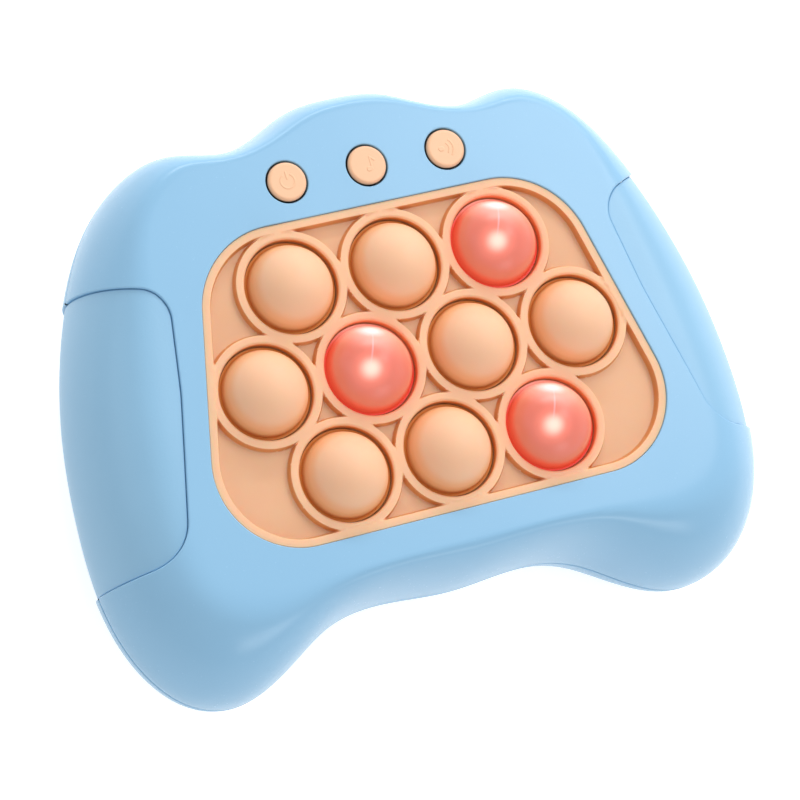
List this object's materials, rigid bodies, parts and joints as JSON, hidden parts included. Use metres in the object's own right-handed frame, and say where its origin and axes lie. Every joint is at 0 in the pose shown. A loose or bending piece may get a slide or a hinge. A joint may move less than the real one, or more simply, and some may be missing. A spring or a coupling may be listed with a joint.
{
  "type": "electronic bubble pop game",
  "caption": "Hand-held electronic game with domed bubbles that press in and spring back, round buttons above them, side grips and a battery door in the back.",
  "frame": {"origin": "middle of the outline's bounding box, on the flat of the back", "axes": "+X to the right and +Y towards the three buttons as the player sees it, +Z out of the play face"},
  "size_m": [0.144, 0.1142, 0.0427],
  "materials": {
    "shell_plastic": "satin light blue moulding",
    "grip_plastic": "finely textured blue moulding",
    "peach_silicone": "soft peach silicone",
    "red_silicone": "soft silicone glowing red from the light behind it",
    "cap_plastic": "smooth peach moulding",
    "clear_plastic": "frosted clear",
    "white_plastic": "plain white moulding",
    "board_laminate": "green glass-fibre laminate",
    "boot_rubber": "grey moulded rubber",
    "speaker_steel": "black cone on a steel basket",
    "screw_steel": "zinc-plated steel",
    "contact_steel": "nickel-plated spring steel",
    "battery_can": "dark sleeve over a metal can",
    "red_wire": "red sleeve",
    "black_wire": "black sleeve"
  },
  "bodies": {
    "case": {"front_shell": "shell_plastic", "rear_shell": "shell_plastic", "left_grip": "grip_plastic", "right_grip": "grip_plastic", "bubble_pad": "peach_silicone", "pad_frame": "white_plastic", "circuit_board": "board_laminate", "led_01": "clear_plastic", "led_02": "clear_plastic", "led_03": "clear_plastic", "led_04": "clear_plastic", "led_05": "clear_plastic", "led_06": "clear_plastic", "led_07": "clear_plastic", "led_08": "clear_plastic", "led_09": "clear_plastic", "led_10": "clear_plastic", "left_button_boot": "boot_rubber", "middle_button_boot": "boot_rubber", "right_button_boot": "boot_rubber", "speaker": "speaker_steel", "battery_1": "battery_can", "battery_2": "battery_can", "battery_3": "battery_can", "right_end_terminal": "contact_steel", "right_end_bridge": "contact_steel", "left_end_bridge": "contact_steel", "left_end_terminal": "contact_steel", "battery_wire_red": "red_wire", "battery_wire_black": "black_wire", "speaker_cable": "black_wire", "case_screw_1": "screw_steel", "case_screw_2": "screw_steel", "case_screw_3": "screw_steel", "case_screw_4": "screw_steel"},
    "bubble_01_body": {"bubble_01": "peach_silicone", "light_cup_01": "clear_plastic"},
    "bubble_02_body": {"bubble_02": "peach_silicone", "light_cup_02": "clear_plastic"},
    "bubble_03_body": {"bubble_03": "red_silicone", "light_cup_03": "clear_plastic"},
    "bubble_04_body": {"bubble_04": "peach_silicone", "light_cup_04": "clear_plastic"},
    "bubble_05_body": {"bubble_05": "red_silicone", "light_cup_05": "clear_plastic"},
    "bubble_06_body": {"bubble_06": "peach_silicone", "light_cup_06": "clear_plastic"},
    "bubble_07_body": {"bubble_07": "peach_silicone", "light_cup_07": "clear_plastic"},
    "bubble_08_body": {"bubble_08": "peach_silicone", "light_cup_08": "clear_plastic"},
    "bubble_09_body": {"bubble_09": "peach_silicone", "light_cup_09": "clear_plastic"},
    "bubble_10_body": {"bubble_10": "red_silicone", "light_cup_10": "clear_plastic"},
    "left_button_body": {"left_button": "cap_plastic"},
    "middle_button_body": {"middle_button": "cap_plastic"},
    "right_button_body": {"right_button": "cap_plastic"},
    "door": {"battery_door": "shell_plastic", "battery_door_screw": "screw_steel"}
  },
  "joints": [
    {"name": "bubble_01_press", "type": "slide", "parent": "case", "child": "bubble_01_body", "axis": [0, 0, -1], "range_m": [0, 0.0045], "stiffness_N_per_m": 350, "springref_m": -0.0004},
    {"name": "bubble_02_press", "type": "slide", "parent": "case", "child": "bubble_02_body", "axis": [0, 0, -1], "range_m": [0, 0.0045], "stiffness_N_per_m": 350, "springref_m": -0.0004},
    {"name": "bubble_03_press", "type": "slide", "parent": "case", "child": "bubble_03_body", "axis": [0, 0, -1], "range_m": [0, 0.0045], "stiffness_N_per_m": 350, "springref_m": -0.0004},
    {"name": "bubble_04_press", "type": "slide", "parent": "case", "child": "bubble_04_body", "axis": [0, 0, -1], "range_m": [0, 0.0045], "stiffness_N_per_m": 350, "springref_m": -0.0004},
    {"name": "bubble_05_press", "type": "slide", "parent": "case", "child": "bubble_05_body", "axis": [0, 0, -1], "range_m": [0, 0.0045], "stiffness_N_per_m": 350, "springref_m": -0.0004},
    {"name": "bubble_06_press", "type": "slide", "parent": "case", "child": "bubble_06_body", "axis": [0, 0, -1], "range_m": [0, 0.0045], "stiffness_N_per_m": 350, "springref_m": -0.0004},
    {"name": "bubble_07_press", "type": "slide", "parent": "case", "child": "bubble_07_body", "axis": [0, 0, -1], "range_m": [0, 0.0045], "stiffness_N_per_m": 350, "springref_m": -0.0004},
    {"name": "bubble_08_press", "type": "slide", "parent": "case", "child": "bubble_08_body", "axis": [0, 0, -1], "range_m": [0, 0.0045], "stiffness_N_per_m": 350, "springref_m": -0.0004},
    {"name": "bubble_09_press", "type": "slide", "parent": "case", "child": "bubble_09_body", "axis": [0, 0, -1], "range_m": [0, 0.0045], "stiffness_N_per_m": 350, "springref_m": -0.0004},
    {"name": "bubble_10_press", "type": "slide", "parent": "case", "child": "bubble_10_body", "axis": [0, 0, -1], "range_m": [0, 0.0045], "stiffness_N_per_m": 350, "springref_m": -0.0004},
    {"name": "left_button_press", "type": "slide", "parent": "case", "child": "left_button_body", "axis": [0, 0, -1], "range_m": [0, 0.001], "stiffness_N_per_m": 1000, "springref_m": -0.0003, "deforming": ["left_button_boot"]},
    {"name": "middle_button_press", "type": "slide", "parent": "case", "child": "middle_button_body", "axis": [0, 0, -1], "range_m": [0, 0.001], "stiffness_N_per_m": 1000, "springref_m": -0.0003, "deforming": ["middle_button_boot"]},
    {"name": "right_button_press", "type": "slide", "parent": "case", "child": "right_button_body", "axis": [0, 0, -1], "range_m": [0, 0.001], "stiffness_N_per_m": 1000, "springref_m": -0.0003, "deforming": ["right_button_boot"]},
    {"name": "battery_door_hinge", "type": "hinge", "parent": "case", "child": "door", "pos_m": [-0.0265, -0.004, 0.0002], "axis": [0, 1, 0], "range_deg": [0, 60]}
  ]
}
